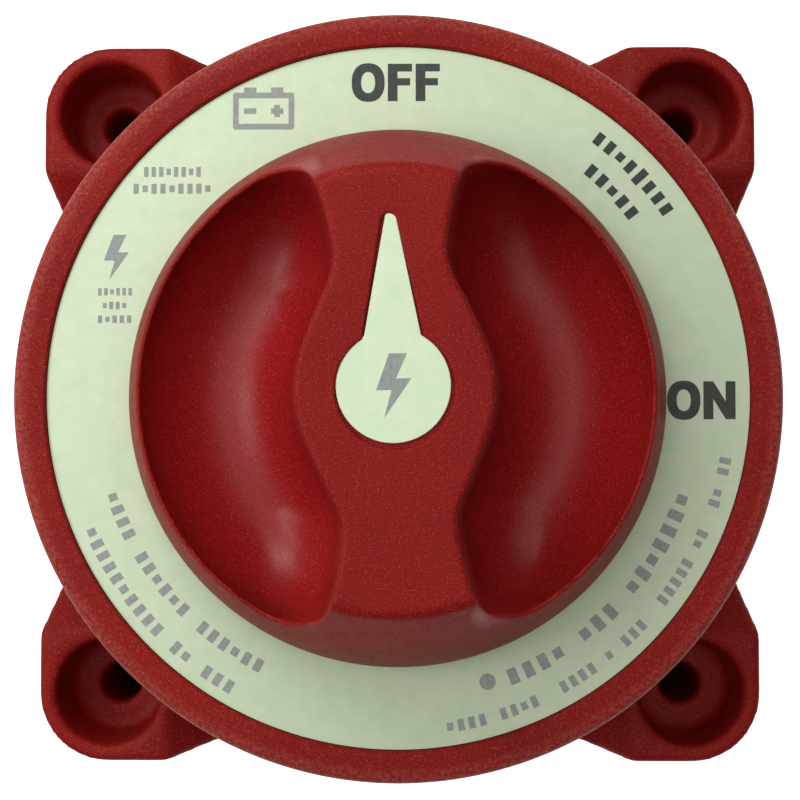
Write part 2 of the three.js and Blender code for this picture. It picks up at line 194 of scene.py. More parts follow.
def red_plastic(name="red_plastic", scooped=False, rimmed=False):
    """Moulded red plastic, dulled by weather, with pale flecks painted as glints: glossier in a knob's
    scoops, where a brighter red is painted for light bounced inside them, and with a painted highlight along
    a rim.
    """
    look = Look(name)
    base = look.ramp(look.noise(60, 3), (0.35, (0.240, 0.0068, 0.0058)), (0.65, (0.280, 0.0086, 0.0068)))
    grain = look.noise(900, 3)
    rough = look.ramp(grain, (0.3, 0.42), (0.7, 0.54))
    look.set("Specular IOR Level", 0.12)
    if scooped:
        mask = scoop_mask(look)
        # A brighter red painted inside the scoops, standing in for light bounced there; the coat and lower
        # roughness are the plastic's own gloss.
        base = look.mix(mask, base, (0.305, 0.0048, 0.0068))
        rough = look.mix(mask, rough, look.ramp(grain, (0.3, 0.31), (0.7, 0.43)))
        gloss = look.ramp(mask, (0.0, 0.0), (1.0, 0.48))
        look.links.new(gloss, look.shader.inputs["Coat Weight"])
        look.set("Coat Roughness", 0.37)
    look.links.new(rough, look.shader.inputs["Roughness"])
    dusk = look.ramp(look.noise(2600, 3, 0.7), (0.32, 0.80), (0.68, 1.12))
    base = look.mix(1.0, base, dusk, "MULTIPLY")
    # Pale flecks painted in as sparkle glints.
    painted_glints = look.ramp(look.noise(5200, 2, 0.7), (0.60, 0.0), (0.70, 0.85))
    base = look.mix(painted_glints, base, (0.48, 0.085, 0.070))
    # A painted highlight along the bezel's rim, in pale noisy patches.
    if rimmed:
        base = look.mix(painted_rim_highlight(look), base, (0.47, 0.115, 0.095))
    look.colour(base)
    look.bump((look.noise(3600, 3, 0.6), 0.030), (look.noise(260, 2), 0.018))
    return look.material


def scoop_mask(look):
    """One inside the knob's scoops, and nothing on its top and outside."""
    within = look.ramp(look.reach(SCOOP_ACROSS, SCOOP_ALONG), (0.93, 1.0), (1.0, 0.0))
    x, y, z = look.absolute()
    below = look.between(z, KNOB_TOP - 0.7, KNOB_TOP - 2.5)
    beside = look.ramp(look.combine("DIVIDE", x, y), (0.32, 0.0), (0.36, 1.0))
    return look.mix(1.0, look.mix(1.0, within, below, "MULTIPLY"), beside, "MULTIPLY")


def painted_rim_highlight(look):
    """A painted highlight along the outer edge of the bezel's face, broken into pale patches by noise."""
    edge = look.ramp(look.reach(FACE_RADIUS, FACE_RADIUS), (0.955, 0.0), (0.985, 1.0))
    upper = look.between(look.absolute()[2], FACE_TOP - 2.2, FACE_TOP - 0.8)
    highlight_patches = look.ramp(look.noise(2100, 4, 0.7), (0.42, 0.08), (0.64, 0.62))
    return look.mix(1.0, look.mix(1.0, edge, upper, "MULTIPLY"), highlight_patches, "MULTIPLY")


def glow_film(name="glow_label", gain=1.0):
    """Afterglow film: pale green, mottled, with fine grains. A higher gain is a paler print run."""
    look = Look(name)
    look.set("Specular IOR Level", 0.4)
    dull, pale = ([gain * c for c in colour] for colour in ((0.60, 0.71, 0.515), (0.67, 0.765, 0.57)))
    mottle = look.ramp(look.noise(420, 4, 0.65), (0.3, dull), (0.7, pale))
    grains = look.ramp(look.noise(3000, 2, 0.6), (0.60, 0.0), (0.75, 0.35))
    look.colour(look.mix(grains, mottle, (0.74, 0.80, 0.62)))
    look.rough(look.noise(700, 2), 0.44, 0.58)
    look.bump((look.noise(1800, 3, 0.6), 0.010), (look.noise(120, 2), 0.03))
    return look.material


def ink(name, dark, light, rough):
    look = Look(name)
    look.colour(look.ramp(look.noise(2600, 3, 0.7), (0.35, dark), (0.7, light)))
    look.rough(look.noise(900, 2), rough, rough + 0.15)
    look.bump((look.noise(2200, 2), 0.006))
    return look.material


def black_plastic():
    look = Look("black_plastic")
    look.colour(look.ramp(look.noise(300, 4), (0.3, (0.012, 0.012, 0.013)), (0.7, (0.024, 0.024, 0.026))))
    look.rough(look.noise(1200, 3), 0.38, 0.56)
    look.bump((look.noise(3000, 2), 0.012))
    return look.material


def natural_nylon():
    look = Look("natural_nylon")
    look.set("Subsurface Weight", 0.15)
    look.set("Subsurface Scale", 0.001)
    look.colour(look.ramp(look.noise(200, 3), (0.3, (0.74, 0.70, 0.59)), (0.7, (0.82, 0.78, 0.68))))
    look.rough(look.noise(800, 2), 0.45, 0.6)
    look.bump((look.noise(2400, 2), 0.01))
    return look.material


def metal(name, dark, light, rough, stretch):
    look = Look(name)
    look.set("Metallic", 1.0)
    look.colour(look.ramp(look.noise(500, 4), (0.3, dark), (0.7, light)))
    grain = look.noise(2200, 3, 0.6, stretch)
    look.rough(grain, rough, rough + 0.14)
    look.bump((grain, 0.006), (look.noise(900, 2), 0.004))
    return look.material


def seal_rubber():
    look = Look("seal_rubber")
    look.colour(look.ramp(look.noise(400, 3), (0.3, (0.009, 0.009, 0.009)), (0.7, (0.02, 0.02, 0.02))))
    look.rough(look.noise(1500, 2), 0.62, 0.8)
    look.bump((look.noise(2800, 3), 0.015))
    return look.material


RED = red_plastic()
KNOB_RED = red_plastic("knob_plastic", scooped=True)
BEZEL_RED = red_plastic("bezel_plastic", rimmed=True)
GLOW = glow_film()
POINTER_GLOW = glow_film("pointer_label", 1.15)
INK_BLACK = ink("print_black", (0.022, 0.025, 0.024), (0.045, 0.048, 0.046), 0.45)
INK_GREY = ink("print_grey", (0.27, 0.28, 0.285), (0.36, 0.37, 0.37), 0.5)
BLACK = black_plastic()
NYLON = natural_nylon()
TINNED = metal("tinned_copper", (0.60, 0.59, 0.55), (0.74, 0.72, 0.67), 0.24, (1, 1, 0.2))
STEEL = metal("stainless_steel", (0.52, 0.53, 0.55), (0.66, 0.67, 0.69), 0.22, (1, 1, 0.15))
RUBBER = seal_rubber()
SLOT_LOOKS = {
    "red_plastic": RED,
    "glow_label": GLOW,
    "black_plastic": BLACK,
    "natural_nylon": NYLON,
    "tinned_copper": TINNED,
    "stainless_steel": STEEL,
    "seal_rubber": RUBBER,
}


# ---------------------------------------------------------------- mesh helpers


def add_mesh(name, points, faces, look, body, slot, replaces=(), crease=35):
    mesh = bpy.data.meshes.new(name)
    mesh.from_pydata((np.asarray(points, float) * MM).tolist(), [], [tuple(map(int, f)) for f in faces])
    mesh.materials.append(look)
    mesh.shade_smooth()
    mesh.set_sharp_from_angle(angle=math.radians(crease))
    piece = bpy.data.objects.new(name, mesh)
    bpy.context.scene.collection.objects.link(piece)
    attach(piece, body)
    if replaces:
        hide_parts(*replaces)
    return piece


def joined(*parts):
    """Several (points, faces) as one."""
    points, faces, start = [], [], 0
    for part_points, part_faces in parts:
        points.extend(map(tuple, part_points))
        faces.extend(tuple(i + start for i in face) for face in part_faces)
        start += len(part_points)
    return points, faces


def rounded(corners, steps=5):
    """A closed outline whose corners (a, b, radius) become arcs."""
    outline = []
    for index, (a, b, radius) in enumerate(corners):
        here = np.array([a, b], float)
        if radius <= 0:
            outline.append(here)
            continue
        before = np.array(corners[index - 1][:2], float) - here
        after = np.array(corners[(index + 1) % len(corners)][:2], float) - here
        before /= np.linalg.norm(before)
        after /= np.linalg.norm(after)
        half = math.acos(np.clip(before @ after, -1, 1)) / 2
        middle = (before + after) / np.linalg.norm(before + after)
        centre = here + middle * radius / math.sin(half)
        first = here + before * radius / math.tan(half) - centre
        last = here + after * radius / math.tan(half) - centre
        sweep = math.atan2(first[0] * last[1] - first[1] * last[0], first @ last)
        for step in range(steps + 1):
            angle = sweep * step / steps
            cos, sin = math.cos(angle), math.sin(angle)
            outline.append(centre + [first[0] * cos - first[1] * sin, first[0] * sin + first[1] * cos])
    return np.array(outline)


def turned(profile, segments=192):
    """A closed profile of (radius, height) turned about Z."""
    count = len(profile)
    angles = np.arange(segments) * 2 * math.pi / segments
    points = [(r * math.cos(a), r * math.sin(a), z) for a in angles for r, z in profile]
    faces = []
    for s in range(segments):
        near, far = s * count, (s + 1) % segments * count
        for i in range(count):
            j = (i + 1) % count
            faces.append((near + i, far + i, far + j, near + j))
    return points, faces


def arc(cx, cy, radius, start, end, steps):
    angles = np.linspace(start, end, steps + 1)
    return np.stack([cx + radius * np.cos(angles), cy + radius * np.sin(angles)], 1)


def circle(radius, count):
    return arc(0, 0, radius, 0, 2 * math.pi * (count - 1) / count, count - 1)


def stacked(*levels):
    """A closed solid through rising (outline, height) levels with the same number of points each."""
    count = len(levels[0][0])
    points = [(x, y, z) for outline, z in levels for x, y in outline]
    faces = [tuple(range(count))[::-1], tuple(range((len(levels) - 1) * count, len(levels) * count))]
    for level in range(len(levels) - 1):
        for i in range(count):
            j = (i + 1) % count
            a = level * count
            faces.append((a + i, a + j, a + count + j, a + count + i))
    return points, faces


def plate(outline, low, high, edge=0.0):
    """An outline (counterclockwise) as a thin solid, with a small chamfer of size edge on top."""
    outline = np.asarray(outline, float)
    ahead, behind = np.roll(outline, -1, 0) - outline, outline - np.roll(outline, 1, 0)
    normal = np.stack([ahead[:, 1] + behind[:, 1], -(ahead[:, 0] + behind[:, 0])], 1)
    normal /= np.linalg.norm(normal, axis=1, keepdims=True)
    levels = [(outline, low), (outline, high - edge)]
    if edge:
        levels.append((outline - normal * edge, high))
    return stacked(*levels)


def band(outer, inner, low, high):
    """A closed band between two outlines with the same number of points."""
    count = len(outer)
    points = [(x, y, z) for z in (low, high) for loop in (outer, inner) for x, y in loop]
    faces = []
    for i in range(count):
        j = (i + 1) % count
        for a, b in ((0, 2), (2, 3), (3, 1), (1, 0)):
            faces.append((a * count + i, a * count + j, b * count + j, b * count + i))
    return points, [face[::-1] for face in faces]


def block(low, high, bevel=0.3, turn=0.0):
    """A box with rounded edges, turned about Z."""
    shape = bmesh.new()
    bmesh.ops.create_cube(shape, size=1)
    size = np.subtract(high, low)
    centre = np.add(high, low) / 2
    for vertex in shape.verts:
        vertex.co = [vertex.co[i] * size[i] + centre[i] for i in range(3)]
    bmesh.ops.bevel(shape, geom=shape.edges[:], offset=bevel, segments=2, profile=0.5, affect="EDGES")
    cos, sin = math.cos(turn), math.sin(turn)
    points = [(v.co.x * cos - v.co.y * sin, v.co.x * sin + v.co.y * cos, v.co.z) for v in shape.verts]
    faces = [tuple(v.index for v in face.verts) for face in shape.faces]
    shape.free()
    return points, faces


# ---------------------------------------------------------------- rounded solids from a distance field


def round_max(a, b, radius):
    """The greater of two distances, with a fillet of this radius where they meet."""
    corner = np.hypot(np.maximum(a + radius, 0), np.maximum(b + radius, 0))
    return corner + np.minimum(-radius, np.maximum(a, b))


def round_min(a, b, radius):
    return -round_max(-a, -b, radius)


def skin(distance, low, high, step):
    """Points and quads of the surface where distance(x, y, z) is zero, by surface nets."""
    axes = [np.arange(a - step, b + 2 * step, step) for a, b in zip(low, high)]
    grid = np.meshgrid(*axes, indexing="ij")
    value = distance(*grid)
    inside = value < 0
    cut = [slice(None, -1), slice(1, None)]
    corner = {(i, j, k): (cut[i], cut[j], cut[k]) for i in (0, 1) for j in (0, 1) for k in (0, 1)}
    full = sum(inside[c].astype(np.int8) for c in corner.values())
    active = (full > 0) & (full < 8)
    number = np.full(active.shape, -1)
    number[active] = np.arange(active.sum())
    place = np.argwhere(active).astype(float)
    total, crossings = np.zeros_like(place), np.zeros(len(place))
    for first, c in corner.items():
        for axis in range(3):
            if first[axis]:
                continue
            second = tuple(1 if i == axis else first[i] for i in range(3))
            va, vb = value[c][active], value[corner[second]][active]
            crosses = (va < 0) != (vb < 0)
            share = np.where(crosses, va / np.where(crosses, va - vb, 1), 0)
            point = np.tile(np.array(first, float), (len(place), 1))
            point[:, axis] = share
            total[crosses] += point[crosses]
            crossings += crosses
    points = (place + total / crossings[:, None]) * step + [axis[0] for axis in axes]
    quads = []
    for axis in range(3):
        u, v = (axis + 1) % 3, (axis + 2) % 3
        here = [slice(1, -1)] * 3
        ahead = list(here)
        here[axis], ahead[axis] = slice(0, -1), slice(1, None)
        a, b = inside[tuple(here)], inside[tuple(ahead)]
        for starts in (True, False):
            where = np.argwhere((a if starts else b) & ~(b if starts else a))
            where[:, [i for i in range(3) if i != axis]] += 1
            cells = []
            for du, dv in ((-1, -1), (0, -1), (0, 0), (-1, 0)):
                cell = where.copy()
                cell[:, u] += du
                cell[:, v] += dv
                cells.append(number[tuple(cell.T)])
            quad = np.stack(cells, 1)
            quads.append(quad if starts else quad[:, ::-1])
    quads = np.concatenate(quads)
    for _ in range(4):
        points = evened(points, quads)
        for _ in range(2):
            points -= pull(distance, points, step)
    return points, quads


def evened(points, quads):
    """Each point moved halfway to the middle of its neighbours."""
    total, count = np.zeros_like(points), np.zeros(len(points))
    for i in range(4):
        a, b = quads[:, i], quads[:, (i + 1) % 4]
        for here, there in ((a, b), (b, a)):
            for axis in range(3):
                total[:, axis] += np.bincount(here, points[there, axis], len(points))
            count += np.bincount(here, minlength=len(points))
    return 0.5 * points + 0.5 * total / count[:, None]


def pull(distance, points, step):
    """How far each point is from the surface, along the field's slope."""
    tiny = step / 20
    here = distance(*points.T)
    slope = np.stack(
        [(distance(*(points + tiny * np.eye(3)[i]).T) - here) / tiny for i in range(3)], 1
    )
    size = np.maximum((slope**2).sum(1, keepdims=True), 0.1)
    return np.clip(here[:, None] * slope / size, -step, step)


# ---------------------------------------------------------------- knob

FOOT_RADIUS = KNOB_RADIUS - 0.25
HUB_RADIUS, WAIST = 11.0, 6.15
FLANK_RADIUS, FLANK_FROM = 31.0, 12.8
DOME_LEAN, DOME_CURVE = 0.1, 0.0125
WALL_DRAFT = 0.105
SCOOP_FLOOR = 2.0
BLEND_GROWTH = 0.35
KNOB_PLAY = (0.0, -0.3)
KNOB_TWIST = math.radians(2.1)
POINTER_SKEW = math.radians(-1.1)
POINTER_SLIP = (-0.15, 0.42)
BELOW_KNOB = 50
POCKET_HALF, POCKET_START, POCKET_END, POCKET_TOP = 3.8, 10.5, 22, 72.5
SOCKET_HALF, SOCKET_TOP = 4.3, 64.3
WELL_RADIUS, WELL_FOOT = 5.2, 70
BORE_RADIUS, BORE_FOOT = 2.4, 60
RECESS_GAP, RECESS_LIP = 0.26, 0.40


def grip(x, y):
    """Distance, in plan, from the grip bar's top outline: round hub, waist and flared ends."""
    across, along = np.abs(x), np.abs(y)
    beyond = np.maximum(along - FLANK_FROM, 0)
    flank = np.where(
        beyond > 0, FLANK_RADIUS - np.hypot(across - WAIST - FLANK_RADIUS, beyond), across - WAIST
    )
    hub = np.hypot(x, y) - HUB_RADIUS
    return round_min(flank, hub, 5.5 + BLEND_GROWTH * np.maximum(np.minimum(flank, hub), 0))


def knob_distance(x, y, z):
    """Distance from the knob's skin: a flat-topped dome with a scoop on each side of its grip bar."""
    rise = z - KNOB_FOOT
    height = KNOB_TOP - KNOB_FOOT
    radius = FOOT_RADIUS - DOME_LEAN * rise - DOME_CURVE * rise**2
    dome = (np.hypot(x, y) - radius) / np.hypot(1, DOME_LEAN + 2 * DOME_CURVE * rise)
    body = round_max(round_max(dome, rise - height, 0.8), -rise, 0.4)
    wall = WALL_DRAFT * (height - rise) - grip(x, y)
    reach = np.hypot(x / SCOOP_ACROSS, y / SCOOP_ALONG) + 1e-9
    outer = (reach - 1) * reach / np.hypot(x / SCOOP_ACROSS**2, y / SCOOP_ALONG**2)
    floor = SCOOP_FLOOR + 0.010 * np.maximum(np.abs(x) - 15, 0) ** 2 - rise
    corner = 3.8 + BLEND_GROWTH * np.maximum(17.5 - rise, 0)
    scoop = round_max(round_max(wall, outer, corner), floor, 9.0)
    return round_max(body, -scoop, 0.65)


def settled(points):
    """The knob's parts as they sit: turned and moved a little, by the play on the shaft."""
    cos, sin = math.cos(KNOB_TWIST), math.sin(KNOB_TWIST)
    x, y, z = np.asarray(points, float).T
    return np.stack([x * cos - y * sin + KNOB_PLAY[0], x * sin + y * cos + KNOB_PLAY[1], z], 1)


def on_pointer(points):
    """Points on the pointer's film, which lies a little askew in its recess."""
    x, y, z = np.asarray(points, float).T
    cos, sin = math.cos(POINTER_SKEW), math.sin(POINTER_SKEW)
    slip_x, slip_y = POINTER_SLIP
    return settled(np.stack([x * cos - y * sin + slip_x, x * sin + y * cos + slip_y, z], 1))


def pointer_outline(grow, steps=48):
    hub, root, reach, tip = 6.27 + grow, 3.1 + grow, 19.0, 0.62
    start = math.acos(root / hub)
    rim = arc(0, 0, hub, start, -math.pi - start, steps)
    end = arc(0, reach - tip, tip + grow, math.pi, 0, 10)
    return np.concatenate([rim, end])[::-1]


def pointer_recess():
    """The pocket for the pointer's film, which opens a little at the top."""
    recess, lip = pointer_outline(RECESS_GAP), pointer_outline(RECESS_LIP)
    return stacked(
        (recess, POINTER_FOOT), (recess, KNOB_TOP - 0.16), (lip, KNOB_TOP + 0.02), (lip, KNOB_TOP + 1)
    )


def underside_hollows():
    """Two pockets under the ends of the bar, and the square socket for the shaft."""
    pockets = [
        block((-POCKET_HALF, POCKET_START, BELOW_KNOB), (POCKET_HALF, POCKET_END, POCKET_TOP), 0.6, turn)
        for turn in (0, math.pi)
    ]
    socket = block((-SOCKET_HALF, -SOCKET_HALF, BELOW_KNOB), (SOCKET_HALF, SOCKET_HALF, SOCKET_TOP), 0.3)
    return joined(*pockets, socket)


def screw_well():
    """The room for the knob screw's head, from its seat up to the film."""
    return plate(circle(WELL_RADIUS, 48), WELL_FOOT, POINTER_FOOT + 0.01)


def screw_bore():
    """The hole for the knob screw, from the socket up into the well."""
    return plate(circle(BORE_RADIUS, 24), BORE_FOOT, WELL_FOOT + 0.5)


def cut_away(piece, points, faces):
    """Takes a closed shape out of a piece's mesh."""
    mesh = bpy.data.meshes.new("tool")
    mesh.from_pydata((np.asarray(points, float) * MM).tolist(), [], [tuple(map(int, f)) for f in faces])
    tool = bpy.data.objects.new("tool", mesh)
    bpy.context.scene.collection.objects.link(tool)
    boolean = piece.modifiers.new("cut", "BOOLEAN")
    boolean.operation = "DIFFERENCE"
    boolean.solver = "MANIFOLD"
    boolean.object = tool
    bpy.context.view_layer.update()
    result = bpy.data.meshes.new_from_object(piece.evaluated_get(bpy.context.evaluated_depsgraph_get()))
    piece.modifiers.remove(boolean)
    old = piece.data
    piece.data = result
    bpy.data.meshes.remove(old)
    bpy.data.objects.remove(tool)
    bpy.data.meshes.remove(mesh)


def build_knob():
    low = [-KNOB_RADIUS, -KNOB_RADIUS, KNOB_FOOT]
    high = [KNOB_RADIUS, KNOB_RADIUS, KNOB_TOP]
    points, faces = skin(knob_distance, low, high, 0.32)
    knob = add_mesh("knob_shell", points, faces, KNOB_RED, TURNING, "red_plastic", ["knob"])
    for hollow in (pointer_recess(), underside_hollows(), screw_well(), screw_bore()):
        cut_away(knob, *hollow)
    shift = Matrix.Translation((KNOB_PLAY[0] * MM, KNOB_PLAY[1] * MM, 0))
    knob.data.transform(shift @ Matrix.Rotation(KNOB_TWIST, 4, "Z"))
    knob.data.shade_smooth()
    knob.data.set_sharp_from_angle(angle=math.radians(70))
    points, faces = plate(pointer_outline(0, 72), POINTER_FOOT, POINTER_TOP, 0.06)
    points = on_pointer(points)
    add_mesh("pointer_film", points, faces, POINTER_GLOW, TURNING, "glow_label", ["pointer_label"])


# ---------------------------------------------------------------- bezel and dial


def build_bezel():
    recess, opening = LABEL_RADIUS + 0.08, 10
    skirt_foot, web_foot, chamfer = 48, 49.5, 0.6
    corners = [
        (opening, web_foot, 0),
        (recess, web_foot, 0.2),
        (recess, skirt_foot, 0.15),
        (FACE_RADIUS - chamfer, skirt_foot, 0.15),
        (FACE_RADIUS, skirt_foot + chamfer, 0.4),
        (FACE_RADIUS, FACE_TOP, 1.5),
        (recess, FACE_TOP, 0.35),
        (recess, LABEL_FOOT, 0.1),
        (opening, LABEL_FOOT, 0),
    ]
    turns = [quarter * math.pi / 2 for quarter in range(4)]
    clips = [block((36, -3, 43.5), (38, 3, 50.2), 0.25, turn) for turn in turns]
    barbs = [block((37.5, -3, 44.9), (39.2, 3, 46.4), 0.25, turn) for turn in turns]
    ring = turned(rounded(corners, 6), 256)
    add_mesh("bezel_ring", *joined(ring, *clips, *barbs), BEZEL_RED, CASE, "red_plastic", ["bezel"])


def build_dial():
    opening = 12.5
    corners = [
        (opening, LABEL_FOOT, 0),
        (LABEL_RADIUS, LABEL_FOOT, 0),
        (LABEL_RADIUS, LABEL_TOP, 0.08),
        (opening, LABEL_TOP, 0.08),
    ]
    ring = turned(rounded(corners, 2), 256)
    add_mesh("dial_film", *ring, GLOW, CASE, "glow_label", ["dial_label"])


# ---------------------------------------------------------------- print on the dial

PRINT_FOOT, PRINT_TOP = LABEL_TOP - 0.05, LABEL_TOP + 0.025
CAP = 4.66
STROKE = 1.2


def oval(cx, cy, half_width, half_height, power, steps=56):
    angles = np.arange(steps) * 2 * math.pi / steps
    cos, sin = np.cos(angles), np.sin(angles)
    x = cx + half_width * np.sign(cos) * np.abs(cos) ** (2 / power)
    y = cy + half_height * np.sign(sin) * np.abs(sin) ** (2 / power)
    return np.stack([x, y], 1)


def letter_o(left, foot):
    cx, cy = left + 2.04, foot + CAP / 2
    return band(
        oval(cx, cy, 2.04, CAP / 2 + 0.08, 2.35), oval(cx, cy, 0.87, 1.33, 2.2), PRINT_FOOT, PRINT_TOP
    )


def letter_f(left, foot):
    top, middle = foot + CAP, foot + 2.86
    outline = [
        (left, foot), (left + STROKE, foot), (left + STROKE, middle - 0.9), (left + 2.76, middle - 0.9),
        (left + 2.76, middle), (left + STROKE, middle), (left + STROKE, top - 0.96),
        (left + 3.0, top - 0.96), (left + 3.0, top), (left, top),
    ]
    return plate(outline, PRINT_FOOT, PRINT_TOP)


def letter_n(left, foot):
    top, right = foot + CAP, left + 3.92
    outline = [
        (left, foot), (left + STROKE, foot), (left + STROKE, foot + 2.48), (right - STROKE, foot),
        (right, foot), (right, top), (right - STROKE, top), (right - STROKE, foot + 2.18),
        (left + STROKE, top), (left, top),
    ]
    return plate(outline, PRINT_FOOT, PRINT_TOP)


def mark_line(pattern, height, start, end, radius=None, outward=False, line_y=0.0):
    """A line of small solid blocks that stands for fine print; a space leaves a gap.

    A digit is how tall a block is, in quarters of the line. On an arc, start and end are angles in
    degrees; on a straight line they are x positions.
    """
    length = abs(end - start) * (math.radians(1) * radius if radius else 1)
    cell = length / len(pattern)
    shapes = []

    def bent(s, t):
        if radius is None:
            return start + s, line_y + t
        way = 1 if end > start else -1
        angle = math.radians(start) + way * s / radius
        r = radius + (t if outward else -t)
        return r * math.cos(angle), r * math.sin(angle)

    for index, mark in enumerate(pattern):
        if mark == " ":
            continue
        left, right = index * cell, (index + 0.58) * cell
        rise = height * int(mark) / 4
        low, high = (height - rise) / 2, (height + rise) / 2
        corners = [bent(left, low), bent(right, low), bent(right, high), bent(left, high)]
        area = sum(a[0] * b[1] - b[0] * a[1] for a, b in zip(corners, corners[1:] + corners[:1]))
        shapes.append(plate(corners if area > 0 else corners[::-1], PRINT_FOOT, PRINT_TOP))
    return joined(*shapes)


def bolt_sign(cx, cy, height):
    """The outline of a plain lightning bolt."""
    corners = [
        (0.22, 0.5), (-0.06, 0.5), (-0.27, -0.07), (-0.03, -0.07), (-0.15, -0.5), (0.28, 0.11), (0.04, 0.11)
    ]
    return [(cx + x * height, cy + y * height) for x, y in corners]


def battery_mark(cx, cy, width, height, stroke):
    """A plain battery sign: a case outline with two terminals, plus and minus."""
    x0, x1, y0, y1 = cx - width / 2, cx + width / 2, cy - height / 2, cy + height / 2
    outer = rounded([(x0, y0, 0.3), (x1, y0, 0.3), (x1, y1, 0.3), (x0, y1, 0.3)], 4)
    inner = rounded(
        [(x0 + stroke, y0 + stroke, 0.1), (x1 - stroke, y0 + stroke, 0.1),
         (x1 - stroke, y1 - stroke, 0.1), (x0 + stroke, y1 - stroke, 0.1)], 4)

    def bar(a0, a1, b0, b1):
        return plate([(a0, b0), (a1, b0), (a1, b1), (a0, b1)], PRINT_FOOT, PRINT_TOP)

    arm, left, right = width * 0.1, cx - width * 0.22, cx + width * 0.22
    terminals = [bar(x - arm, x + arm, y1, y1 + height * 0.14) for x in (left, right)]
    signs = [
        bar(left - arm, left + arm, cy - stroke / 2, cy + stroke / 2),
        bar(right - arm, right + arm, cy - stroke / 2, cy + stroke / 2),
        bar(right - stroke / 2, right + stroke / 2, cy + stroke / 2, cy + arm),
        bar(right - stroke / 2, right + stroke / 2, cy - arm, cy - stroke / 2),
    ]
    return joined(band(outer, inner, PRINT_FOOT, PRINT_TOP), *terminals, *signs)


def build_print():
    off = joined(letter_o(-5.68, 36.5), letter_f(-1.2, 36.5), letter_f(2.25, 36.5))
    on = joined(letter_o(33.1, -2.95), letter_n(37.56, -2.95))
    selector = joined(
        mark_line("33234333", 2.2, 52.5, 33.0, 39.2, outward=True),
        mark_line("33233", 2.2, 50.0, 36.0, 35.5, outward=True),
    )
    for name, shape in (("print_off", off), ("print_on", on), ("print_selector", selector)):
        add_mesh(name, *shape, INK_BLACK, CASE, "glow_label")
    upper_left = joined(
        mark_line("33323323", 1.65, -31.4, -24.0, line_y=26.9),
        mark_line("323323332", 1.65, -32.7, -22.7, line_y=24.8),
        battery_mark(-16.6, 35.3, 7.6, 4.6, 0.7),
    )
    left = joined(
        plate(bolt_sign(-34.8, 17.1, 5.6), PRINT_FOOT, PRINT_TOP),
        mark_line("332333", 1.25, -37.0, -32.5, line_y=12.2),
        mark_line("2332", 1.25, -36.4, -33.2, line_y=10.5),
        mark_line("32333", 1.25, -37.0, -32.5, line_y=8.8),
    )
    lower_left = joined(
        mark_line("2333 332323 333233", 2.1, 199.0, 244.5, 38.2),
        mark_line("2333323333 32 333", 2.1, 203.5, 241.5, 42.2),
    )
    lower_right = joined(
        mark_line("3332 233 2323332", 2.6, 291.5, 342.0, 38.4),
        mark_line("2333 3323  3333 2 333  33333 23  32 33", 1.9, 278.5, 350.0, 41.9),
        plate(oval(11.0, -35.0, 1.0, 1.0, 2, 32), PRINT_FOOT, PRINT_TOP),
    )
    for name, shape in (
        ("print_upper_left", upper_left),
        ("print_left", left),
        ("print_lower_left", lower_left),
        ("print_lower_right", lower_right),
    ):
        add_mesh(name, *shape, INK_GREY, CASE, "glow_label")
    low, high = POINTER_TOP - 0.05, POINTER_TOP + 0.025
    points, faces = plate(bolt_sign(0, 0, 7.0), low, high)
    add_mesh("print_pointer_sign", on_pointer(points), faces, INK_GREY, TURNING, "glow_label")


# ---------------------------------------------------------------- terminals


def threaded_stud(radius, pitch, foot, top, per_turn=40):
    """A stud with a real helical thread and a chamfered end."""
    rows_per_pitch = 8
    rows = int((top - foot) / pitch * rows_per_pitch)
    points = []
    for row in range(rows + 1):
        z = foot + (top - foot) * row / rows
        for k in range(per_turn):
            phase = (z / pitch - k / per_turn) % 1.0
            depth = 0.54 * pitch * min(1.0, abs(phase - 0.5) * 2.5)
            fade = np.clip((top - z) / pitch, 0, 1)
            r = min(radius - depth * fade, radius - 1.0 + (z - foot))
            angle = 2 * math.pi * k / per_turn
            points.append((r * math.cos(angle), r * math.sin(angle), z))
    faces = [tuple(range(per_turn))[::-1], tuple(range(rows * per_turn, (rows + 1) * per_turn))]
    for row in range(rows):
        for k in range(per_turn):
            j = (k + 1) % per_turn
            a = row * per_turn
            faces.append((a + k, a + j, a + per_turn + j, a + per_turn + k))
    return points, faces


def moved(shape, x, y=0.0):
    points, faces = shape
    return [(px + x, py + y, pz) for px, py, pz in points], faces


def hex_nut(across, hole, low, high, steps=96):
    """A hexagonal nut, chamfered on both faces, with a chamfered hole."""
    angles = np.arange(steps) * 2 * math.pi / steps
    flat = across / 2 / np.cos((angles + math.pi / 6) % (math.pi / 3) - math.pi / 6)
    crown = across / 2 - 0.15
    drop = np.maximum(flat - crown, 0) * math.tan(math.radians(30))
    rings = [
        (np.full(steps, hole + 0.6), np.full(steps, high)),
        (np.full(steps, crown), np.full(steps, high)),
        (flat, high - drop),
        (flat, low + drop),
        (np.full(steps, crown), np.full(steps, low)),
        (np.full(steps, hole + 0.6), np.full(steps, low)),
        (np.full(steps, hole), np.full(steps, low + 0.6)),
        (np.full(steps, hole), np.full(steps, high - 0.6)),
    ]
    points = [(r[i] * math.cos(a), r[i] * math.sin(a), z[i]) for r, z in rings for i, a in enumerate(angles)]
    faces = []
    for level in range(len(rings)):
        a, b = level * steps, (level + 1) % len(rings) * steps
        for i in range(steps):
            j = (i + 1) % steps
            faces.append((b + i, b + j, a + j, a + i))
    return points, faces


